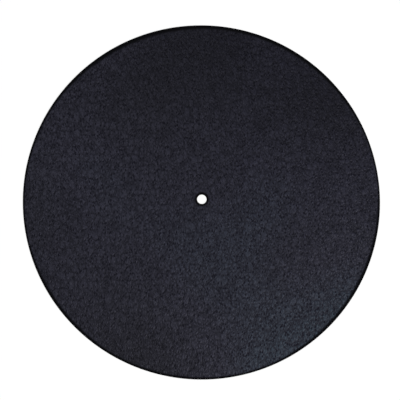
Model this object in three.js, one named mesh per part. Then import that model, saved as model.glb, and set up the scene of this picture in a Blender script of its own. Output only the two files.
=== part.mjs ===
// A turntable platter mat: one flat disc of black leather that lies on a record player's platter,
// under the record. A hole punched through its centre drops over the player's spindle.
//
// Millimetres, +Z up. The origin is on the spindle's axis in the plane of the underside, so the
// mat lies on z = 0 and the record lies on z = THICKNESS.

import * as THREE from "three";

// The disc, cut from one hide
const DISC_DIAMETER = 300;
const THICKNESS = 2;

// The hole: the spindle that it drops over, and the clearance all round it
const SPINDLE_DIAMETER = 7.2;
const SPINDLE_CLEARANCE = 0.4;

// Radii of the section's four corners. The cut rim is burnished round, more on the face than on
// the back. The punch draws the lip of the hole down and leaves its far side nearly sharp.
const RIM_FACE_ROUND = 0.7;
const RIM_BACK_ROUND = 0.4;
const HOLE_FACE_ROUND = 0.35;
const HOLE_BACK_ROUND = 0.15;

// The most of a wall's height that one corner takes, so that a thin hide keeps some upright wall
const MOST_OF_WALL_IN_A_CORNER = 0.45;

// How finely round shapes are divided
const STEPS_ROUND_THE_AXIS = 180;
const STEPS_ROUND_A_CORNER = 3;

// Points along one rounded corner of the section: a quarter circle about (x, z), where x is the
// distance from the axis, that runs anticlockwise from startDegrees.
function corner(x, z, radius, startDegrees) {
  return Array.from({ length: STEPS_ROUND_A_CORNER + 1 }, (_, step) => {
    const degrees = startDegrees + (90 * step) / STEPS_ROUND_A_CORNER;
    const angle = THREE.MathUtils.degToRad(degrees);
    return new THREE.Vector2(x + radius * Math.cos(angle), z + radius * Math.sin(angle));
  });
}

// A corner's radius, made smaller where the hide is too thin for it.
function fitted(radius) {
  return Math.min(radius, MOST_OF_WALL_IN_A_CORNER * THICKNESS);
}

// The mat's section from the hole to the rim: a closed outline that starts on the wall of the
// hole and runs anticlockwise, along the underside, up the rim and back along the face.
function sectionOutline() {
  const holeRadius = SPINDLE_DIAMETER / 2 + SPINDLE_CLEARANCE;
  const rimRadius = DISC_DIAMETER / 2;
  const holeBack = fitted(HOLE_BACK_ROUND);
  const rimBack = fitted(RIM_BACK_ROUND);
  const rimFace = fitted(RIM_FACE_ROUND);
  const holeFace = fitted(HOLE_FACE_ROUND);
  const outline = [
    ...corner(holeRadius + holeBack, holeBack, holeBack, 180),
    ...corner(rimRadius - rimBack, rimBack, rimBack, 270),
    ...corner(rimRadius - rimFace, THICKNESS - rimFace, rimFace, 0),
    ...corner(holeRadius + holeFace, THICKNESS - holeFace, holeFace, 90),
  ];
  return [...outline, outline[0].clone()];
}

// The section turned round the spindle's axis. A lathe turns about Y, so it is tipped up to Z.
function matGeometry() {
  const geometry = new THREE.LatheGeometry(sectionOutline(), STEPS_ROUND_THE_AXIS);
  return geometry.rotateX(Math.PI / 2);
}

// Leather dyed through in black, with a faint blue cast and a soft sheen
const blackLeather = new THREE.MeshStandardMaterial({
  name: "black_leather",
  color: 0x282830,
  roughness: 0.55,
  metalness: 0,
});

const platterMat = new THREE.Mesh(matGeometry(), blackLeather);
platterMat.name = "platter_mat";

const mat = new THREE.Group();
mat.name = "turntable_platter_mat";
mat.add(platterMat);

export default mat;
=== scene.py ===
"""A turntable platter mat of black grained leather, lit in a white studio.

The mat is one disc, cut from a hide: a pebbled face, a rubbed edge at the rim and at the
spindle's hole, and a napped flesh side below. All lengths are in metres, in the solid's frame.
"""

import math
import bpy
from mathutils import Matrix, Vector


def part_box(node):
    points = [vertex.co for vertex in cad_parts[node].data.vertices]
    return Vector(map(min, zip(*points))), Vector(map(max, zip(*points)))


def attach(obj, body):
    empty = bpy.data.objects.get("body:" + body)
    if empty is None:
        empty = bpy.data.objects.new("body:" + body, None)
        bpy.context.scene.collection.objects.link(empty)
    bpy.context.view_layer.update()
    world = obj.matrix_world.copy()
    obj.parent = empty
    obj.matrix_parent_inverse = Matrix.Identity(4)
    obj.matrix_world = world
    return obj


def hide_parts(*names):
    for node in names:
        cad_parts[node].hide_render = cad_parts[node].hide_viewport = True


bl_info = {
    "name": "Leather Platter Mat",
    "version": (1, 0, 0),
    "blender": (4, 5, 0),
    "location": "View3D > Sidebar > Platter Mat",
    "description": "Cuts a leather mat for a turntable's platter and lights it in a white studio",
    "category": "Object",
}

import bmesh
import bpy
from mathutils import Matrix, Vector

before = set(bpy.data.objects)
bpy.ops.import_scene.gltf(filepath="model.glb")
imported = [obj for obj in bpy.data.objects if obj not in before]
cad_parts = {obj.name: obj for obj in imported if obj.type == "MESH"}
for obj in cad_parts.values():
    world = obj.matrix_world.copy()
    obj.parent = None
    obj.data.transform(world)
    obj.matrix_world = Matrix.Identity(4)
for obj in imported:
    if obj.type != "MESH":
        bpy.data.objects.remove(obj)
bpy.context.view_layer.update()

NODE = "platter_mat"
MM = 0.001

# How a tree's nodes are laid out in the editor
NODES_IN_ROW = 8
NODE_WIDTH, NODE_HEIGHT = 220, 320

# Points of the mat's skin that lie closer than this become one
WELD_DISTANCE = 0.01 * MM

# The map for baking: the face and both cut edges share one disc of it, and the flesh side has a
# smaller disc in the opposite corner. Radii and centres are shares of the map's side
BAKE_MAP = "OFBake"
FACE_MAP_RADIUS, FACE_MAP_CENTRE = 0.385, 0.395
BACK_MAP_RADIUS, BACK_MAP_CENTRE = 0.185, 0.805

# The hide's broad tone, and how far in from the rim the edge dye has crept, are two broad
# noises. The broad tone is painted light and shade, and the uneven reach along the rim adds
# painted shade. Their seeds fit the hide in the photograph, which is paler at the lower right and
# has more edge dye at the top. Each noise runs between two values over the mat, and they become
# two shares, of the face's usual tone or of the edge dye's usual reach
CLOUD_WIDTH = 200 * MM
HIDE_LIGHT_SEED, HIDE_LIGHT_CLOUD, HIDE_LIGHT_TONES = 1462.0, (0.27, 0.67), (0.35, 1.65)
DYE_AND_SHADE_SEED, DYE_AND_SHADE_CLOUD, DYE_AND_SHADE_REACHES = 3788.0, (0.37, 0.63), (0.65, 1.6)

# The hide hung along Y as it dried, which drew its pebbles and wrinkles out by two thirds that
# way, and its creases, pores and patches by half
FINE_DRAW = (1.0, 0.6, 1.0)
BROAD_DRAW = (1.0, 0.65, 1.0)

# What each layer of the grain adds to the rise of the face, what the cutting die takes off it at
# the rim and how far in it does so, and the height of a rise of 1
PEBBLE_RISE, CREASE_RISE, PORE_RISE, WRINKLE_RISE = 0.5, 0.4, 0.9, 1.0
PATCH_RISE = 1.5
PRESS_RISE, PRESS_WIDTH = -0.4, 6 * MM
GRAIN_HEIGHT = 0.17 * MM

# The index of refraction of finished leather
LEATHER_IOR = 1.5

# The paper sweep: its radius, the radius of its bend, the height of its wall, the radius of its
# middle, how far it lies below the mat, and its steps round the bend and round the axis
SWEEP_RADIUS, SWEEP_BEND, SWEEP_WALL = 6.0, 0.8, 1.6
SWEEP_MIDDLE = 1.0
SWEEP_DROP = 0.1 * MM
SWEEP_BEND_STEPS, SWEEP_TURN_STEPS = 6, 64

# Both soft boxes: the length of a side, and how far they hang from the middle of the mat
SOFT_BOX_SIDE = 0.8
SOFT_BOX_DISTANCE = 1.7

# The camera of the photograph, worked out from the outlines of the disc and of its hole
VIEW_AZIMUTH = math.radians(-7.41)
VIEW_ELEVATION = math.radians(82.45)
VIEW_DISTANCE = 1.0685
VIEW_AIM = Vector((-0.00151, -0.00048, 0.0))
SENSOR_WIDTH = 36.0
LENS = 114.38


def linear(hex_colour):
    """An sRGB hex colour as linear red, green and blue."""
    channels = [int(hex_colour[i:i + 2], 16) / 255 for i in (1, 3, 5)]
    return tuple(c / 12.92 if c <= 0.04045 else ((c + 0.055) / 1.055) ** 2.4 for c in channels)


def read_section(node):
    """The section of the solid disc: its thickness, its two walls and their rounded corners."""
    low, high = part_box(node)
    near = (high.z - low.z) / 100
    rings = [(math.hypot(v.co.x, v.co.y), v.co.z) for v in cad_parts[node].data.vertices]
    face = [radius for radius, z in rings if z > high.z - near]
    back = [radius for radius, z in rings if z < low.z + near]
    rim = max(radius for radius, z in rings)
    hole = min(radius for radius, z in rings)
    return {
        "thickness": high.z - low.z,
        "rim": rim,
        "rim_face_round": rim - max(face),
        "rim_back_round": rim - max(back),
        "hole": hole,
        "hole_face_round": min(face) - hole,
        "hole_back_round": min(back) - hole,
    }


SECTION = read_section(NODE)


class MatSizes(bpy.types.PropertyGroup):
    """The mat's sizes. Those of its section start as the solid's."""

    rim: bpy.props.FloatProperty(
        name="Rim radius", description="From the spindle's axis to the rim",
        default=SECTION["rim"], min=0.05, precision=4, unit="LENGTH", subtype="DISTANCE")
    hole: bpy.props.FloatProperty(
        name="Hole radius", description="From the spindle's axis to the wall of the hole",
        default=SECTION["hole"], min=0.001, precision=4, unit="LENGTH", subtype="DISTANCE")
    thickness: bpy.props.FloatProperty(
        name="Thickness", description="Thickness of the hide",
        default=SECTION["thickness"], min=0.0005, precision=4, unit="LENGTH", subtype="DISTANCE")
    face_relief: bpy.props.FloatProperty(
        name="Face relief", description="Depth of the broad creases of the face",
        default=0.06 * MM, min=0.0, precision=5, unit="LENGTH", subtype="DISTANCE")
    face_relief_spacing: bpy.props.FloatVectorProperty(
        name="Face relief spacing", description="From one broad crease to the next",
        default=(8 * MM, 13 * MM, 8 * MM), precision=4, unit="LENGTH", subtype="XYZ")
    back_relief: bpy.props.FloatProperty(
        name="Back relief", description="Depth of the hollows of the flesh side",
        default=0.06 * MM, min=0.0, precision=5, unit="LENGTH", subtype="DISTANCE")
    back_relief_spacing: bpy.props.FloatVectorProperty(
        name="Back relief spacing", description="From one hollow of the flesh side to the next",
        default=(7 * MM, 7 * MM, 7 * MM), precision=4, unit="LENGTH", subtype="XYZ")
    relief_margin: bpy.props.FloatProperty(
        name="Relief margin", description="Width beside each cut over which the relief dies away",
        default=3 * MM, min=0.0005, precision=4, unit="LENGTH", subtype="DISTANCE")
    rings: bpy.props.IntProperty(
        name="Rings", description="Rings of faces in the sheet, counted from its axis",
        default=100, min=20, max=105)
    hole_rings: bpy.props.IntProperty(
        name="Rings in hole", description="Rings that are left out for the hole",
        default=5, min=1, max=10)
    corner_steps: bpy.props.IntProperty(
        name="Corner steps", description="Rows of faces round each corner of the section",
        default=5, min=1, max=8)
    seed: bpy.props.IntProperty(
        name="Seed", description="Picks another piece of the hide", default=3, min=0)


class LeatherFinish(bpy.types.PropertyGroup):
    """The leather's colours and the sizes of its grain."""

    # The tops' colour. With the valleys' colour it paints a sheen on the tops
    face_colour: bpy.props.FloatVectorProperty(
        name="Face", description="Highest tops of the pebbles",
        default=linear("#2b2b38"), min=0.0, max=1.0, subtype="COLOR")
    # The tops' greener blue where the broad cloud of painted light is brightest
    bright_patch_colour: bpy.props.FloatVectorProperty(
        name="Thin dye", description="The same tops where the hide took less dye",
        default=linear("#26303a"), min=0.0, max=1.0, subtype="COLOR")
    # Painted shade in the creases, pores and valleys
    valley_shade_colour: bpy.props.FloatVectorProperty(
        name="Valleys", description="Creases, pores and valleys, where the dye gathers",
        default=linear("#070713"), min=0.0, max=1.0, subtype="COLOR")
    edge_colour: bpy.props.FloatVectorProperty(
        name="Edge", description="Dyed and rubbed cut edge",
        default=linear("#040405"), min=0.0, max=1.0, subtype="COLOR")
    flesh_colour: bpy.props.FloatVectorProperty(
        name="Flesh side", description="Dyed nap of the back",
        default=linear("#26252a"), min=0.0, max=1.0, subtype="COLOR")
    pebble: bpy.props.FloatProperty(
        name="Pebble", description="Width of one pebble of the grain",
        default=2.0 * MM, min=0.0002, precision=5, unit="LENGTH", subtype="DISTANCE")
    crease: bpy.props.FloatProperty(
        name="Crease spacing", description="Distance between the creases that cross the pebbles",
        default=4.6 * MM, min=0.0005, precision=5, unit="LENGTH", subtype="DISTANCE")
    pore: bpy.props.FloatProperty(
        name="Pore spacing", description="From one hair pore of the grain to the next",
        default=2.2 * MM, min=0.0002, precision=5, unit="LENGTH", subtype="DISTANCE")
    rim_dye: bpy.props.FloatProperty(
        name="Dye at rim", description="How far the edge dye crept in from the rim, where even",
        default=3.4 * MM, min=0.0001, precision=5, unit="LENGTH", subtype="DISTANCE")
    hole_dye: bpy.props.FloatProperty(
        name="Dye at hole", description="How far the edge dye crept out from the hole",
        default=2.7 * MM, min=0.0001, precision=5, unit="LENGTH", subtype="DISTANCE")


class StudioLight(bpy.types.PropertyGroup):
    """The strength of each light, as a share of what turns white paper white."""

    key: bpy.props.FloatProperty(
        name="Key", description="Soft box high on the near right side",
        default=0.54, min=0.0, max=2.0, subtype="FACTOR")
    fill: bpy.props.FloatProperty(
        name="Fill", description="Soft box high on the far left side",
        default=0.17, min=0.0, max=2.0, subtype="FACTOR")
    room: bpy.props.FloatProperty(
        name="Room", description="Even light from the studio's ceiling",
        default=0.05, min=0.0, max=2.0, subtype="FACTOR")


def add(tree, kind, inputs=None, **settings):
    """Adds a node to a tree, with its settings, and with values or links for its inputs.

    An input is picked by its name, or by its number among those in use. It is given a value, an
    output socket, or a node, which stands for that node's first output.
    """
    node = tree.nodes.new(kind)
    row, column = divmod(len(tree.nodes) - 1, NODES_IN_ROW)
    node.location = (NODE_WIDTH * column, -NODE_HEIGHT * row)
    for name, value in settings.items():
        setattr(node, name, value)
    live = [socket for socket in node.inputs if socket.enabled]
    for key, given in (inputs or {}).items():
        socket = live[key] if isinstance(key, int) else next(s for s in live if s.name == key)
        if isinstance(given, bpy.types.Node):
            given = next(s for s in given.outputs if s.enabled)
        if isinstance(given, bpy.types.NodeSocket):
            tree.links.new(given, socket)
        else:
            socket.default_value = given
    return node


def new_group(name, inputs):
    """A Geometry Nodes tree with named inputs, whose sockets are returned with it."""
    tree = bpy.data.node_groups.new(name, "GeometryNodeTree")
    for label, kind in inputs.items():
        tree.interface.new_socket(label, in_out="INPUT", socket_type="NodeSocket" + kind)
    tree.interface.new_socket("Geometry", in_out="OUTPUT", socket_type="NodeSocketGeometry")
    return tree, add(tree, "NodeGroupInput").outputs


def flat_side_nodes():
    """A flat ring of faces that are all nearly square, with the hide's relief.

    It is a square grid, each of whose square rings is drawn out to a circle. The innermost rings
    are left out for the hole.
    """
    tree, given = new_group("flat_side", {
        "Inner Radius": "Float", "Outer Radius": "Float", "Height": "Float",
        "Rings": "Int", "Rings in Hole": "Int",
        "Relief": "Float", "Relief Spacing": "Vector", "Relief Margin": "Float", "Seed": "Int",
        "Map Centre": "Vector", "Map Scale": "Vector",
    })
    across = add(tree, "ShaderNodeMath", {0: given["Rings"], 1: 2.0, 2: 1.0},
                 operation="MULTIPLY_ADD")
    grid = add(tree, "GeometryNodeMeshGrid",
               {"Size X": 2.0, "Size Y": 2.0, "Vertices X": across, "Vertices Y": across})
    place = add(tree, "GeometryNodeInputPosition")
    signed = add(tree, "ShaderNodeSeparateXYZ", {0: place}).outputs
    unsigned = add(tree, "ShaderNodeSeparateXYZ", {
        0: add(tree, "ShaderNodeVectorMath", {0: place}, operation="ABSOLUTE")}).outputs

    # How far out a point's square ring lies, from 0 on the axis to 1 at the rim
    ring = add(tree, "ShaderNodeMath", {0: unsigned["X"], 1: unsigned["Y"]}, operation="MAXIMUM")
    hole_ring = add(tree, "ShaderNodeMath", {0: given["Rings in Hole"], 1: given["Rings"]},
                    operation="DIVIDE")
    in_hole = add(tree, "ShaderNodeMath", {0: ring, 1: hole_ring}, operation="LESS_THAN")
    open_grid = add(tree, "GeometryNodeDeleteGeometry", {"Geometry": grid, "Selection": in_hole},
                    domain="FACE")

    # A point's place along its side of the square gives its angle on the circle
    on_x = add(tree, "ShaderNodeMath", {0: unsigned["X"], 1: unsigned["Y"]},
               operation="GREATER_THAN")
    larger = add(tree, "GeometryNodeSwitch",
                 {"Switch": on_x, "False": signed["Y"], "True": signed["X"]}, input_type="FLOAT")
    smaller = add(tree, "GeometryNodeSwitch",
                  {"Switch": on_x, "False": signed["X"], "True": signed["Y"]}, input_type="FLOAT")
    slope = add(tree, "ShaderNodeMath", {0: smaller, 1: larger}, operation="DIVIDE")
    angle = add(tree, "ShaderNodeMath", {0: slope, 1: math.pi / 4}, operation="MULTIPLY")
    side = add(tree, "ShaderNodeMath", {0: larger}, operation="SIGN")
    along = add(tree, "ShaderNodeMath", {
        0: side, 1: add(tree, "ShaderNodeMath", {0: angle}, operation="COSINE")},
        operation="MULTIPLY")
    beside = add(tree, "ShaderNodeMath", {
        0: side, 1: add(tree, "ShaderNodeMath", {0: angle}, operation="SINE")},
        operation="MULTIPLY")
    x = add(tree, "GeometryNodeSwitch", {"Switch": on_x, "False": beside, "True": along},
            input_type="FLOAT")
    y = add(tree, "GeometryNodeSwitch", {"Switch": on_x, "False": along, "True": beside},
            input_type="FLOAT")
    radius = add(tree, "ShaderNodeMapRange", {
        "Value": ring, "From Min": hole_ring, "From Max": 1.0,
        "To Min": given["Inner Radius"], "To Max": given["Outer Radius"]})
    flat = add(tree, "ShaderNodeVectorMath", {
        0: add(tree, "ShaderNodeCombineXYZ", {"X": x, "Y": y}), "Scale": radius},
        operation="SCALE")

    # The relief dies away towards both cuts, so that the section's corners stay true
    waves = add(tree, "ShaderNodeTexNoise", {
        "Vector": add(tree, "ShaderNodeVectorMath", {0: flat, 1: given["Relief Spacing"]},
                      operation="DIVIDE"),
        "W": given["Seed"], "Scale": 1.0, "Detail": 1.0}, noise_dimensions="4D")
    from_hole = add(tree, "ShaderNodeMath", {0: radius, 1: given["Inner Radius"]},
                    operation="SUBTRACT")
    from_rim = add(tree, "ShaderNodeMath", {0: given["Outer Radius"], 1: radius},
                   operation="SUBTRACT")
    depth = add(tree, "ShaderNodeMapRange", {
        "Value": add(tree, "ShaderNodeMath", {0: from_hole, 1: from_rim}, operation="MINIMUM"),
        "From Min": 0.0, "From Max": given["Relief Margin"], "To Min": 0.0,
        "To Max": given["Relief"]}, interpolation_type="SMOOTHSTEP")
    height = add(tree, "ShaderNodeMath", {0: waves, 1: depth, 2: given["Height"]},
                 operation="MULTIPLY_ADD")
    lifted = add(tree, "ShaderNodeVectorMath", {
        0: flat, 1: add(tree, "ShaderNodeCombineXYZ", {"Z": height})}, operation="ADD")

    # The map is stored before the points move, because it is worked out from the grid's places
    mapped = add(tree, "ShaderNodeVectorMath", {
        0: flat, 1: given["Map Scale"], 2: given["Map Centre"]}, operation="MULTIPLY_ADD")
    stored = add(tree, "GeometryNodeStoreNamedAttribute",
                 {"Geometry": open_grid, "Name": BAKE_MAP, "Value": mapped},
                 data_type="FLOAT2", domain="CORNER")
    flat_side = add(tree, "GeometryNodeSetPosition", {"Geometry": stored, "Position": lifted})
    add(tree, "NodeGroupOutput", {0: flat_side})
    return tree


def cut_edge_nodes():
    """The wall of one cut, with a rounded corner above it and one below.

    It is a grid rolled round the axis, whose rows run from the face down to the back. Side is 1
    where the leather lies inside the wall, as at the rim, and -1 where it lies outside.
    """
    tree, given = new_group("cut_edge", {
        "Radius": "Float", "Side": "Float", "Thickness": "Float", "Face Round": "Float",
        "Back Round": "Float", "Segments": "Int", "Corner Steps": "Int",
        "Map Centre": "Vector", "Map Scale": "Vector",
    })
    columns = add(tree, "ShaderNodeMath", {0: given["Segments"], 1: 1.0}, operation="ADD")
    last_row = add(tree, "ShaderNodeMath", {0: given["Corner Steps"], 1: 2.0, 2: 1.0},
                   operation="MULTIPLY_ADD")
    rows = add(tree, "ShaderNodeMath", {0: last_row, 1: 1.0}, operation="ADD")
    grid = add(tree, "GeometryNodeMeshGrid",
               {"Size X": 1.0, "Size Y": 1.0, "Vertices X": columns, "Vertices Y": rows})
    place = add(tree, "ShaderNodeSeparateXYZ", {
        0: add(tree, "GeometryNodeInputPosition")}).outputs
    turn = add(tree, "ShaderNodeMapRange", {
        "Value": place["X"], "From Min": -0.5, "From Max": 0.5, "To Min": 0.0,
        "To Max": 2 * math.pi})
    row = add(tree, "ShaderNodeMapRange", {
        "Value": place["Y"], "From Min": -0.5, "From Max": 0.5, "To Min": 0.0,
        "To Max": last_row})

    # How far each corner has turned at this row. The back's starts one row below the face's end
    back_start = add(tree, "ShaderNodeMath", {0: given["Corner Steps"], 1: 1.0}, operation="ADD")
    face_turn = add(tree, "ShaderNodeMapRange", {
        "Value": row, "From Min": 0.0, "From Max": given["Corner Steps"], "To Min": 0.0,
        "To Max": math.pi / 2})
    back_turn = add(tree, "ShaderNodeMapRange", {
        "Value": row, "From Min": back_start, "From Max": last_row, "To Min": 0.0,
        "To Max": math.pi / 2})
    rounds = add(tree, "ShaderNodeMath", {0: given["Face Round"], 1: given["Back Round"]},
                 operation="ADD")
    upright = add(tree, "ShaderNodeMath", {0: given["Thickness"], 1: rounds},
                  operation="SUBTRACT")
    wall_run = add(tree, "ShaderNodeMapRange", {
        "Value": row, "From Min": given["Corner Steps"], "From Max": back_start, "To Min": 0.0,
        "To Max": upright})

    # How far this row stands back from the wall
    face_in = add(tree, "ShaderNodeMath", {
        0: 1.0, 1: add(tree, "ShaderNodeMath", {0: face_turn}, operation="SINE")},
        operation="SUBTRACT")
    back_in = add(tree, "ShaderNodeMath", {
        0: 1.0, 1: add(tree, "ShaderNodeMath", {0: back_turn}, operation="COSINE")},
        operation="SUBTRACT")
    inset = add(tree, "ShaderNodeMath", {
        0: given["Face Round"], 1: face_in,
        2: add(tree, "ShaderNodeMath", {0: given["Back Round"], 1: back_in},
               operation="MULTIPLY")}, operation="MULTIPLY_ADD")
    radius = add(tree, "ShaderNodeMath", {
        0: given["Radius"],
        1: add(tree, "ShaderNodeMath", {0: given["Side"], 1: inset}, operation="MULTIPLY")},
        operation="SUBTRACT")

    # How far it lies below the face
    face_down = add(tree, "ShaderNodeMath", {
        0: 1.0, 1: add(tree, "ShaderNodeMath", {0: face_turn}, operation="COSINE")},
        operation="SUBTRACT")
    wall_down = add(tree, "ShaderNodeMath", {0: given["Face Round"], 1: face_down, 2: wall_run},
                    operation="MULTIPLY_ADD")
    down = add(tree, "ShaderNodeMath", {
        0: given["Back Round"],
        1: add(tree, "ShaderNodeMath", {0: back_turn}, operation="SINE"), 2: wall_down},
        operation="MULTIPLY_ADD")
    height = add(tree, "ShaderNodeMath", {0: given["Thickness"], 1: down}, operation="SUBTRACT")
    outwards = add(tree, "ShaderNodeCombineXYZ", {
        "X": add(tree, "ShaderNodeMath", {0: turn}, operation="COSINE"),
        "Y": add(tree, "ShaderNodeMath", {0: turn}, operation="SINE")})
    around = add(tree, "ShaderNodeVectorMath", {0: outwards, "Scale": radius}, operation="SCALE")
    rolled = add(tree, "ShaderNodeVectorMath", {
        0: around, 1: add(tree, "ShaderNodeCombineXYZ", {"Z": height})}, operation="ADD")

    # On the map the wall lies unrolled beside the face: outside it, or inside the hole
    wall_reach = add(tree, "ShaderNodeMath", {
        0: given["Back Round"], 1: back_turn, 2: wall_run}, operation="MULTIPLY_ADD")
    reach = add(tree, "ShaderNodeMath", {
        0: given["Face Round"], 1: face_turn, 2: wall_reach}, operation="MULTIPLY_ADD")
    past_wall = add(tree, "ShaderNodeMath", {0: reach, 1: given["Face Round"]},
                    operation="SUBTRACT")
    map_radius = add(tree, "ShaderNodeMath", {
        0: past_wall, 1: given["Side"], 2: given["Radius"]}, operation="MULTIPLY_ADD")
    unrolled = add(tree, "ShaderNodeVectorMath", {0: outwards, "Scale": map_radius},
                   operation="SCALE")
    mapped = add(tree, "ShaderNodeVectorMath", {
        0: unrolled, 1: given["Map Scale"], 2: given["Map Centre"]}, operation="MULTIPLY_ADD")
    stored = add(tree, "GeometryNodeStoreNamedAttribute",
                 {"Geometry": grid, "Name": BAKE_MAP, "Value": mapped},
                 data_type="FLOAT2", domain="CORNER")
    edge = add(tree, "GeometryNodeSetPosition", {"Geometry": stored, "Position": rolled})
    add(tree, "NodeGroupOutput", {0: edge})
    return tree


def mat_nodes():
    """The whole mat: its two flat sides and its two cut edges, welded into one closed skin."""
    tree, given = new_group("leather_mat", {
        "Rim Radius": "Float", "Hole Radius": "Float", "Thickness": "Float",
        "Rim Face Round": "Float", "Rim Back Round": "Float",
        "Hole Face Round": "Float", "Hole Back Round": "Float",
        "Face Relief": "Float", "Face Relief Spacing": "Vector",
        "Back Relief": "Float", "Back Relief Spacing": "Vector", "Relief Margin": "Float",
        "Rings": "Int", "Rings in Hole": "Int", "Corner Steps": "Int", "Seed": "Int",
        "Face Map Centre": "Vector", "Face Map Scale": "Vector",
        "Back Map Centre": "Vector", "Back Map Scale": "Vector", "Weld Distance": "Float",
        "Face Leather": "Material", "Edge Leather": "Material", "Back Leather": "Material",
    })
    flat_side, cut_edge = flat_side_nodes(), cut_edge_nodes()
    parts = []

    # The face is pressed down from its height and the back is raised, so neither grows the mat
    for side, height, sign in (("Face", given["Thickness"], -1.0), ("Back", 0.0, 1.0)):
        inner = add(tree, "ShaderNodeMath", {
            0: given["Hole Radius"], 1: given[f"Hole {side} Round"]}, operation="ADD")
        outer = add(tree, "ShaderNodeMath", {
            0: given["Rim Radius"], 1: given[f"Rim {side} Round"]}, operation="SUBTRACT")
        relief = add(tree, "ShaderNodeMath", {0: given[f"{side} Relief"], 1: sign},
                     operation="MULTIPLY")
        sheet = add(tree, "GeometryNodeGroup", {
            "Inner Radius": inner, "Outer Radius": outer, "Height": height,
            "Rings": given["Rings"], "Rings in Hole": given["Rings in Hole"],
            "Relief": relief, "Relief Spacing": given[f"{side} Relief Spacing"],
            "Relief Margin": given["Relief Margin"], "Seed": given["Seed"],
            "Map Centre": given[f"{side} Map Centre"], "Map Scale": given[f"{side} Map Scale"],
        }, node_tree=flat_side)
        if side == "Back":
            sheet = add(tree, "GeometryNodeFlipFaces", {"Mesh": sheet})
        parts.append(add(tree, "GeometryNodeSetMaterial", {
            "Geometry": sheet, "Material": given[f"{side} Leather"]}))

    # A square ring has eight sides' worth of faces for each ring out from the axis
    for cut, rings, sign in (("Rim", "Rings", 1.0), ("Hole", "Rings in Hole", -1.0)):
        segments = add(tree, "ShaderNodeMath", {0: given[rings], 1: 8.0}, operation="MULTIPLY")
        wall = add(tree, "GeometryNodeGroup", {
            "Radius": given[f"{cut} Radius"], "Side": sign, "Thickness": given["Thickness"],
            "Face Round": given[f"{cut} Face Round"], "Back Round": given[f"{cut} Back Round"],
            "Segments": segments, "Corner Steps": given["Corner Steps"],
            "Map Centre": given["Face Map Centre"], "Map Scale": given["Face Map Scale"],
        }, node_tree=cut_edge)
        if cut == "Rim":
            wall = add(tree, "GeometryNodeFlipFaces", {"Mesh": wall})
        parts.append(add(tree, "GeometryNodeSetMaterial", {
            "Geometry": wall, "Material": given["Edge Leather"]}))

    joined = add(tree, "GeometryNodeJoinGeometry")
    for part in parts:
        tree.links.new(part.outputs["Geometry"], joined.inputs["Geometry"])
    welded = add(tree, "GeometryNodeMergeByDistance", {
        "Geometry": joined, "Distance": given["Weld Distance"]})
    smooth = add(tree, "GeometryNodeSetShadeSmooth", {"Geometry": welded})
    add(tree, "NodeGroupOutput", {
        0: add(tree, "GeometryNodeRealizeInstances", {"Geometry": smooth})})
    return tree


def new_material(name):
    """An empty node material, and its tree."""
    material = bpy.data.materials.new(name)
    material.use_nodes = True
    material.node_tree.nodes.clear()
    return material, material.node_tree


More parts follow.
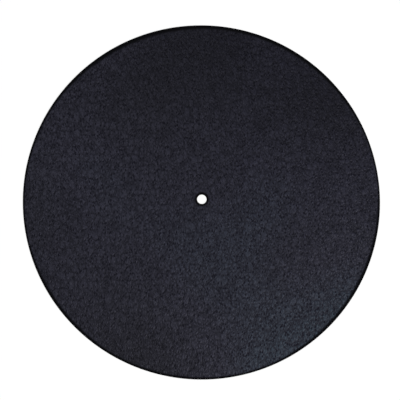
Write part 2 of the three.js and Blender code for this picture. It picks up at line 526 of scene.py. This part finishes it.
def black_full_grain_leather(sizes, finish):
    """Full-grain leather, dyed black and sealed with a thin satin coat.

    The eye sees small pebbles pricked by hair pores, darker valleys and soft creases between
    them, and a low, cool sheen that lies on the pebbles' tops. The darker valleys are painted
    shade, the paler tops are a painted sheen besides the coat's own, and a broad cloud paints
    light and shade over the whole hide. IOR 1.5 and a roughness near 0.5 are usual for finished
    leather. The satin coat is thin and worn into by the grain, so it reflects a third of what a
    full coat does, with a little of the dye's blue in it.
    """
    material, tree = new_material("black_full_grain_leather")
    place = add(tree, "ShaderNodeTexCoord").outputs["Object"]
    hung = add(tree, "ShaderNodeMapping", {"Vector": place, "Scale": FINE_DRAW})
    broad = add(tree, "ShaderNodeMapping", {"Vector": place, "Scale": BROAD_DRAW})

    # Pebbles, and the creases that cross them, have edges that wander. Their tops slope down to
    # those edges over a shoulder, which is a share of their width
    cells = []
    for drawn, width, wander, detail, randomness, shoulder in (
            (hung, finish.pebble, 0.4, 2.0, 1.0, 0.4),
            (broad, finish.crease, 0.5, 3.0, 0.75, 0.3)):
        shift = add(tree, "ShaderNodeTexNoise", {
            "Vector": drawn, "Scale": wander / width, "Detail": detail}).outputs["Color"]
        shifted = add(tree, "ShaderNodeVectorMath", {0: shift, 1: (width,) * 3, 2: drawn},
                      operation="MULTIPLY_ADD")
        edge = add(tree, "ShaderNodeTexVoronoi", {
            "Vector": shifted, "Scale": 1 / width, "Randomness": randomness},
            feature="DISTANCE_TO_EDGE")
        cells.append(add(tree, "ShaderNodeMapRange", {
            "Value": edge, "From Min": 0.0, "From Max": shoulder, "To Min": 0.0, "To Max": 1.0},
            interpolation_type="SMOOTHSTEP"))
    pebble, crease = cells

    # Hair pores are 0.3 mm wide, too fine to show, so they are drawn four times as coarse. The
    # radii of a pore's floor and lip are shares of the distance between pores
    floor, lip = 0.1, 0.4
    pore_centre = add(tree, "ShaderNodeTexVoronoi", {"Vector": broad, "Scale": 1 / finish.pore})
    pore = add(tree, "ShaderNodeMapRange", {
        "Value": pore_centre, "From Min": floor, "From Max": lip, "To Min": 0.0, "To Max": 1.0},
        interpolation_type="SMOOTHSTEP")

    # So are the fine wrinkles between them, which are 0.2 mm wide
    wrinkle_width = 0.9 * MM
    wrinkle = add(tree, "ShaderNodeTexNoise", {
        "Vector": hung, "Scale": 1 / wrinkle_width, "Detail": 2.0, "Roughness": 0.6})

    # The dye takes unevenly over small patches. A broad cloud over the whole hide paints light
    # and shade
    patch_width = 7 * MM
    patch = add(tree, "ShaderNodeTexNoise", {
        "Vector": broad, "Scale": 1 / patch_width, "Detail": 2.0, "Roughness": 0.6})
    light_cloud, dye_and_shade_cloud = [
        add(tree, "ShaderNodeTexNoise", {
            "Vector": place, "W": seed, "Scale": 1 / CLOUD_WIDTH, "Detail": 1.0},
            noise_dimensions="4D")
        for seed in (HIDE_LIGHT_SEED, DYE_AND_SHADE_SEED)]
    painted_light_tone = add(tree, "ShaderNodeMapRange", {
        "Value": light_cloud, "From Min": HIDE_LIGHT_CLOUD[0], "From Max": HIDE_LIGHT_CLOUD[1],
        "To Min": HIDE_LIGHT_TONES[0], "To Max": HIDE_LIGHT_TONES[1]})

    rise = 0.0
    for layer, share in ((pebble, PEBBLE_RISE), (crease, CREASE_RISE), (pore, PORE_RISE),
                         (wrinkle, WRINKLE_RISE)):
        rise = add(tree, "ShaderNodeMath", {0: layer, 1: share, 2: rise},
                   operation="MULTIPLY_ADD")

    # The colour is darkest in the valleys, which is painted shade, and palest on the highest
    # tops, which is a painted sheen. Where the broad cloud of painted light is brightest, the
    # tops also turn to a greener blue
    patch_share, shade_below, sheen_above = 0.4, 1.5, 2.3
    bright_patch_start, bright_patch_full = 0.5, 0.6
    tone = add(tree, "ShaderNodeMath", {0: patch, 1: patch_share, 2: rise},
               operation="MULTIPLY_ADD")
    lit = add(tree, "ShaderNodeMapRange", {
        "Value": tone, "From Min": shade_below, "From Max": sheen_above, "To Min": 0.0, "To Max": 1.0})
    bright_patch_share = add(tree, "ShaderNodeMapRange", {
        "Value": light_cloud, "From Min": bright_patch_start, "From Max": bright_patch_full, "To Min": 0.0,
        "To Max": 1.0})
    top = add(tree, "ShaderNodeMix", {
        "Factor": bright_patch_share, "A": (*finish.face_colour, 1.0), "B": (*finish.bright_patch_colour, 1.0)},
        data_type="RGBA")
    shaded_grain = add(tree, "ShaderNodeMix", {
        "Factor": lit, "A": (*finish.valley_shade_colour, 1.0), "B": top.outputs[2]},
        data_type="RGBA")
    # The broad cloud's painted light and shade scales the whole colour
    grain_in_painted_light = add(tree, "ShaderNodeVectorMath", {0: shaded_grain.outputs[2], "Scale": painted_light_tone},
                 operation="SCALE")

    # The edge dye has crept in over the face along each cut. Along the rim its reach also follows
    # a broad noise, which paints shade further in at the top. It is full up to a share of its
    # reach, and fades out over the rest
    full_share = 0.4
    radius = add(tree, "ShaderNodeVectorMath", {
        0: add(tree, "ShaderNodeVectorMath", {0: place, 1: (1.0, 1.0, 0.0)},
               operation="MULTIPLY")}, operation="LENGTH")
    from_rim = add(tree, "ShaderNodeMath", {0: sizes.rim, 1: radius}, operation="SUBTRACT")
    from_hole = add(tree, "ShaderNodeMath", {0: radius, 1: sizes.hole}, operation="SUBTRACT")
    dye_and_shade_reach = add(tree, "ShaderNodeMapRange", {
        "Value": dye_and_shade_cloud, "From Min": DYE_AND_SHADE_CLOUD[0], "From Max": DYE_AND_SHADE_CLOUD[1],
        "To Min": DYE_AND_SHADE_REACHES[0] * finish.rim_dye, "To Max": DYE_AND_SHADE_REACHES[1] * finish.rim_dye})
    across_rim = add(tree, "ShaderNodeMath", {0: from_rim, 1: dye_and_shade_reach}, operation="DIVIDE")
    across_hole = add(tree, "ShaderNodeMath", {0: from_hole, 1: finish.hole_dye},
                      operation="DIVIDE")
    across = add(tree, "ShaderNodeMath", {0: across_rim, 1: across_hole}, operation="MINIMUM")
    edge_dye_and_shade = add(tree, "ShaderNodeMapRange", {
        "Value": across, "From Min": full_share, "From Max": 1.0, "To Min": 1.0, "To Max": 0.0},
        interpolation_type="SMOOTHSTEP")
    colour = add(tree, "ShaderNodeMix", {
        "Factor": edge_dye_and_shade, "A": grain_in_painted_light, "B": (*finish.edge_colour, 1.0)},
        data_type="RGBA")

    # The coat is smoothest on the tops of the grain, and the edge dye over it is fully matt
    valleys, tops = 0.95, 1.95
    dull, satin, matt = 0.58, 0.36, 1.0
    polish = add(tree, "ShaderNodeMapRange", {
        "Value": rise, "From Min": valleys, "From Max": tops, "To Min": dull, "To Max": satin})
    roughness = add(tree, "ShaderNodeMix", {"Factor": edge_dye_and_shade, "A": polish, "B": matt})

    # The cutting die pressed the face down a little beside the rim
    pressed = add(tree, "ShaderNodeMapRange", {
        "Value": from_rim, "From Min": 0.0, "From Max": PRESS_WIDTH, "To Min": PRESS_RISE,
        "To Max": 0.0}, interpolation_type="SMOOTHSTEP")
    swell = add(tree, "ShaderNodeMath", {0: patch, 1: PATCH_RISE, 2: pressed},
                operation="MULTIPLY_ADD")
    height = add(tree, "ShaderNodeMath", {0: rise, 1: swell}, operation="ADD")
    relief = add(tree, "ShaderNodeBump", {
        "Strength": 1.0, "Distance": GRAIN_HEIGHT, "Height": height})
    shader = add(tree, "ShaderNodeBsdfPrincipled", {
        "Base Color": colour.outputs[2], "Roughness": roughness, "IOR": LEATHER_IOR,
        "Specular IOR Level": 0.18, "Specular Tint": (0.87, 0.87, 1.0, 1.0), "Normal": relief})
    add(tree, "ShaderNodeOutputMaterial", {"Surface": shader})
    return material


def rubbed_leather_edge(finish):
    """The cut edge of a hide, dyed black and rubbed down with a dry cloth, with no wax on it.

    The eye sees a closed edge, nearly matt and darker than the face, with faint layers that run
    round it.
    """
    material, tree = new_material("rubbed_leather_edge")
    place = add(tree, "ShaderNodeTexCoord").outputs["Object"]

    # Fibre bundles are 0.1 mm thick and lie along the hide, and they are six times as long
    fibre_length, length_to_thickness = 0.6 * MM, 6.0
    flattened = add(tree, "ShaderNodeMapping", {
        "Vector": place, "Scale": (1.0, 1.0, length_to_thickness)})
    layers = add(tree, "ShaderNodeTexNoise", {
        "Vector": flattened, "Scale": 1 / fibre_length, "Detail": 3.0, "Roughness": 0.6})

    # Where the cloth rubbed most, the edge is a little paler and smoother. What each noise is
    # mapped from is the range that it runs over
    rub_width, layer_height = 9 * MM, 0.04 * MM
    most_worn, matt, rubbed = 0.15, 0.95, 0.8
    rubs = add(tree, "ShaderNodeTexNoise", {
        "Vector": place, "Scale": 1 / rub_width, "Detail": 2.0})
    tone = add(tree, "ShaderNodeMath", {0: layers, 1: rubs}, operation="MULTIPLY")
    worn = add(tree, "ShaderNodeMapRange", {
        "Value": tone, "From Min": 0.12, "From Max": 0.42, "To Min": 0.0, "To Max": most_worn})
    colour = add(tree, "ShaderNodeMix", {
        "Factor": worn, "A": (*finish.edge_colour, 1.0), "B": (*finish.face_colour, 1.0)},
        data_type="RGBA")
    dull = add(tree, "ShaderNodeMapRange", {
        "Value": rubs, "From Min": 0.3, "From Max": 0.7, "To Min": matt, "To Max": rubbed})
    relief = add(tree, "ShaderNodeBump", {
        "Strength": 1.0, "Distance": layer_height, "Height": layers})
    shader = add(tree, "ShaderNodeBsdfPrincipled", {
        "Base Color": colour.outputs[2], "Roughness": dull, "IOR": LEATHER_IOR,
        "Specular IOR Level": 0.05, "Normal": relief})
    add(tree, "ShaderNodeOutputMaterial", {"Surface": shader})
    return material


def dyed_flesh_side_suede(finish):
    """The flesh side of a hide, shaved to thickness and dyed, with its nap left on.

    The eye sees a dull, fibrous dark grey in soft patches where the nap lies one way or another.
    Those patches and the nap's darker roots are painted light and shade.
    """
    material, tree = new_material("dyed_flesh_side_suede")
    place = add(tree, "ShaderNodeTexCoord").outputs["Object"]

    # Fibres of the nap are 0.1 mm thick, too fine to show, so they are drawn six times as coarse
    fibre_width, tuft_width, nap_height = 0.6 * MM, 5 * MM, 0.25 * MM
    fibre_share = 0.6
    nap = add(tree, "ShaderNodeTexNoise", {
        "Vector": place, "Scale": 1 / fibre_width, "Detail": 3.0, "Roughness": 0.7})
    tuft = add(tree, "ShaderNodeTexNoise", {
        "Vector": place, "Scale": 1 / tuft_width, "Detail": 3.0, "Roughness": 0.6,
        "Distortion": 0.6})
    rise = add(tree, "ShaderNodeMath", {0: nap, 1: fibre_share, 2: tuft},
               operation="MULTIPLY_ADD")

    # The colour follows the rise of the nap, with painted shade on its low roots and painted
    # light on its tips. The tips are also a little smoother than the roots
    shaded_root_tone, lit_tip_tone, root_dull, tip_dull = 0.25, 1.2, 0.98, 0.86
    lit = add(tree, "ShaderNodeMapRange", {
        "Value": rise, "From Min": 0.45, "From Max": 1.15, "To Min": shaded_root_tone,
        "To Max": lit_tip_tone}, clamp=False)
    colour = add(tree, "ShaderNodeVectorMath", {0: tuple(finish.flesh_colour), "Scale": lit},
                 operation="SCALE")
    relief = add(tree, "ShaderNodeBump", {
        "Strength": 1.0, "Distance": nap_height, "Height": rise})
    dull = add(tree, "ShaderNodeMapRange", {
        "Value": rise, "From Min": 0.5, "From Max": 1.1, "To Min": root_dull,
        "To Max": tip_dull})
    shader = add(tree, "ShaderNodeBsdfPrincipled", {
        "Base Color": colour, "Roughness": dull, "IOR": LEATHER_IOR, "Specular IOR Level": 0.25,
        "Sheen Weight": 0.15, "Sheen Roughness": 0.6, "Normal": relief})
    add(tree, "ShaderNodeOutputMaterial", {"Surface": shader})
    return material


def white_paper_sweep():
    """Matt white paper. It is white in the picture by itself, and darkens a little in shade."""
    material, tree = new_material("white_paper_sweep")

    # Plain paper throws light back on the mat. What the camera sees of it is mostly even white,
    # with a small share that takes light and shadow
    plain, shadowed, even_white = 0.85, 0.16, 0.9
    paper = add(tree, "ShaderNodeBsdfDiffuse", {"Color": (plain, plain, plain, 1.0)})
    shade = add(tree, "ShaderNodeBsdfDiffuse", {"Color": (shadowed, shadowed, shadowed, 1.0)})
    white = add(tree, "ShaderNodeEmission", {
        "Color": (1.0, 1.0, 1.0, 1.0), "Strength": even_white})
    seen = add(tree, "ShaderNodeLightPath").outputs
    in_sheen = add(tree, "ShaderNodeMath", {
        0: seen["Is Glossy Ray"], 1: seen["Is Transmission Ray"]}, operation="MAXIMUM")
    in_view = add(tree, "ShaderNodeMath", {0: seen["Is Camera Ray"], 1: in_sheen},
                  operation="MAXIMUM")
    add(tree, "ShaderNodeOutputMaterial", {"Surface": add(tree, "ShaderNodeMixShader", {
        0: in_view, 1: paper, 2: add(tree, "ShaderNodeAddShader", {0: shade, 1: white})})})
    return material


def check_closed(mesh):
    """Stops the script if a mesh has a gap, or if its faces point inwards."""
    skin = bmesh.new()
    skin.from_mesh(mesh)
    open_edges = sum(not edge.is_manifold or not edge.is_contiguous for edge in skin.edges)
    volume = skin.calc_volume(signed=True)
    skin.free()
    if open_edges or volume <= 0:
        raise RuntimeError(f"{mesh.name}: {open_edges} open edges, volume {volume} cubic metres")


class CutMat(bpy.types.Operator):
    """Cuts the mat from its hide, with its hole, and finishes its face, edges and back."""

    bl_idname = "platter_mat.cut_mat"
    bl_label = "Cut Mat"

    def execute(self, context):
        sizes, finish = context.scene.mat_sizes, context.scene.leather_finish

        # Unrolled on the map, the rim's wall reaches a little less than this past the face. The
        # back's map is mirrored, because the back is seen from below
        unrolled = (math.pi / 2 - 1) * SECTION["rim_face_round"] + SECTION["thickness"]
        face_scale = FACE_MAP_RADIUS / (sizes.rim + unrolled)
        back_scale = BACK_MAP_RADIUS / sizes.rim
        values = {
            "Rim Radius": sizes.rim,
            "Hole Radius": sizes.hole,
            "Thickness": sizes.thickness,
            "Rim Face Round": SECTION["rim_face_round"],
            "Rim Back Round": SECTION["rim_back_round"],
            "Hole Face Round": SECTION["hole_face_round"],
            "Hole Back Round": SECTION["hole_back_round"],
            "Face Relief": sizes.face_relief,
            "Face Relief Spacing": tuple(sizes.face_relief_spacing),
            "Back Relief": sizes.back_relief,
            "Back Relief Spacing": tuple(sizes.back_relief_spacing),
            "Relief Margin": sizes.relief_margin,
            "Rings": sizes.rings,
            "Rings in Hole": sizes.hole_rings,
            "Corner Steps": sizes.corner_steps,
            "Seed": sizes.seed,
            "Face Map Centre": (FACE_MAP_CENTRE, FACE_MAP_CENTRE, 0.0),
            "Face Map Scale": (face_scale, face_scale, 0.0),
            "Back Map Centre": (BACK_MAP_CENTRE, BACK_MAP_CENTRE, 0.0),
            "Back Map Scale": (-back_scale, back_scale, 0.0),
            "Weld Distance": WELD_DISTANCE,
            "Face Leather": black_full_grain_leather(sizes, finish),
            "Edge Leather": rubbed_leather_edge(finish),
            "Back Leather": dyed_flesh_side_suede(finish),
        }
        mat = bpy.data.objects.new("leather_mat", bpy.data.meshes.new("leather_mat_blank"))
        context.scene.collection.objects.link(mat)
        cutter = mat.modifiers.new("cut_mat", "NODES")
        cutter.node_group = mat_nodes()
        for item in cutter.node_group.interface.items_tree:
            if item.in_out == "INPUT":
                cutter[item.identifier] = values[item.name]

        depsgraph = context.evaluated_depsgraph_get()
        mesh = bpy.data.meshes.new_from_object(
            mat.evaluated_get(depsgraph), preserve_all_data_layers=True, depsgraph=depsgraph)
        blank, mat.data = mat.data, mesh
        mat.modifiers.clear()
        bpy.data.meshes.remove(blank)
        mesh.name = mat.name
        check_closed(mesh)
        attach(mat, "root")
        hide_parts(NODE)
        return {"FINISHED"}


class SetStage(bpy.types.Operator):
    """Lays the mat on a white paper sweep, and sets the soft boxes and the camera."""

    bl_idname = "platter_mat.set_stage"
    bl_label = "Set Stage"

    def execute(self, context):
        light = context.scene.studio_light
        self.lay_sweep(context)
        self.hang_soft_box(context, "key_soft_box", light.key, azimuth=52, elevation=63)
        self.hang_soft_box(context, "fill_soft_box", light.fill, azimuth=238, elevation=66)
        self.light_room(context, light.room)
        self.place_camera(context)
        return {"FINISHED"}

    def lay_sweep(self, context):
        """A round floor that turns up all round into a wall, which hides where the room ends."""
        turns = [math.pi / 2 / SWEEP_BEND_STEPS * step for step in range(SWEEP_BEND_STEPS + 1)]
        bend = [(SWEEP_RADIUS - SWEEP_BEND + SWEEP_BEND * math.sin(turn),
                 SWEEP_BEND - SWEEP_BEND * math.cos(turn)) for turn in turns]
        profile = [(0.0, 0.0), (SWEEP_MIDDLE, 0.0), *bend, (SWEEP_RADIUS, SWEEP_WALL)]
        sweep = bmesh.new()
        points = [sweep.verts.new((x, 0.0, z - SWEEP_DROP)) for x, z in profile]
        edges = [sweep.edges.new(pair) for pair in zip(points, points[1:])]
        bmesh.ops.spin(sweep, geom=points + edges, cent=(0, 0, 0), axis=(0, 0, 1),
                       angle=2 * math.pi, steps=SWEEP_TURN_STEPS, use_merge=True)
        bmesh.ops.remove_doubles(sweep, verts=sweep.verts, dist=MM)
        bmesh.ops.recalc_face_normals(sweep, faces=sweep.faces)
        mesh = bpy.data.meshes.new("paper_sweep")
        sweep.to_mesh(mesh)
        sweep.free()
        mesh.materials.append(white_paper_sweep())
        floor = bpy.data.objects.new("paper_sweep", mesh)
        context.scene.collection.objects.link(floor)

    def hang_soft_box(self, context, name, share, azimuth, elevation):
        """A square soft box that gives white paper at the origin this share of full white."""
        turn, rise = math.radians(azimuth), math.radians(elevation)
        towards = Vector((math.sin(turn) * math.cos(rise), -math.cos(turn) * math.cos(rise),
                          math.sin(rise)))
        box = bpy.data.lights.new(name, "AREA")
        box.shape = "SQUARE"
        box.size = SOFT_BOX_SIDE
        box.energy = share * (math.pi * SOFT_BOX_DISTANCE) ** 2 / math.sin(rise)
        lamp = bpy.data.objects.new(name, box)
        lamp.matrix_world = (Matrix.Translation(towards * SOFT_BOX_DISTANCE)
                             @ towards.to_track_quat("Z", "Y").to_matrix().to_4x4())
        context.scene.collection.objects.link(lamp)

    def light_room(self, context, share):
        """Dim and even light from above, which the sweep keeps out of the camera's view."""
        room = bpy.data.worlds.new("studio_room")
        room.use_nodes = True
        room.node_tree.nodes.clear()
        add(room.node_tree, "ShaderNodeOutputWorld", {"Surface": add(
            room.node_tree, "ShaderNodeBackground", {
                "Color": (1.0, 1.0, 1.0, 1.0), "Strength": share})})
        context.scene.world = room

    def place_camera(self, context):
        """The camera at the place and with the lens that the photograph was taken with."""
        back = Vector((math.sin(VIEW_AZIMUTH) * math.cos(VIEW_ELEVATION),
                       -math.cos(VIEW_AZIMUTH) * math.cos(VIEW_ELEVATION),
                       math.sin(VIEW_ELEVATION)))
        lens = bpy.data.cameras.new("photo_camera")
        lens.sensor_width = SENSOR_WIDTH
        lens.lens = LENS
        camera = bpy.data.objects.new("photo_camera", lens)
        right = Vector((0, 1, 0)).cross(back).normalized()
        turned = Matrix((right, back.cross(right), back)).transposed().to_4x4()
        camera.matrix_world = Matrix.Translation(VIEW_AIM + back * VIEW_DISTANCE) @ turned
        context.scene.collection.objects.link(camera)
        context.scene.camera = camera
        context.scene.view_settings.view_transform = "Standard"


class MatPanel(bpy.types.Panel):
    """The mat's sizes and colours, its light, and the two steps that make it."""

    bl_idname = "VIEW3D_PT_platter_mat"
    bl_label = "Platter Mat"
    bl_space_type = "VIEW_3D"
    bl_region_type = "UI"
    bl_category = "Platter Mat"

    def draw(self, context):
        groups = (("mat_sizes", "Sizes"), ("leather_finish", "Finish"),
                  ("studio_light", "Light"))
        for group, title in groups:
            box = self.layout.box()
            box.label(text=title)
            settings = getattr(context.scene, group)
            for name in type(settings).__annotations__:
                box.prop(settings, name)
        self.layout.operator(CutMat.bl_idname)
        self.layout.operator(SetStage.bl_idname)


CLASSES = (MatSizes, LeatherFinish, StudioLight, CutMat, SetStage, MatPanel)


def register():
    for cls in CLASSES:
        bpy.utils.register_class(cls)
    bpy.types.Scene.mat_sizes = bpy.props.PointerProperty(type=MatSizes)
    bpy.types.Scene.leather_finish = bpy.props.PointerProperty(type=LeatherFinish)
    bpy.types.Scene.studio_light = bpy.props.PointerProperty(type=StudioLight)


def unregister():
    del bpy.types.Scene.studio_light
    del bpy.types.Scene.leather_finish
    del bpy.types.Scene.mat_sizes
    for cls in reversed(CLASSES):
        bpy.utils.unregister_class(cls)


def main():
    """Makes the mat and its stage."""
    register()
    bpy.ops.platter_mat.cut_mat()
    bpy.ops.platter_mat.set_stage()


if __name__ == "__main__":
    main()
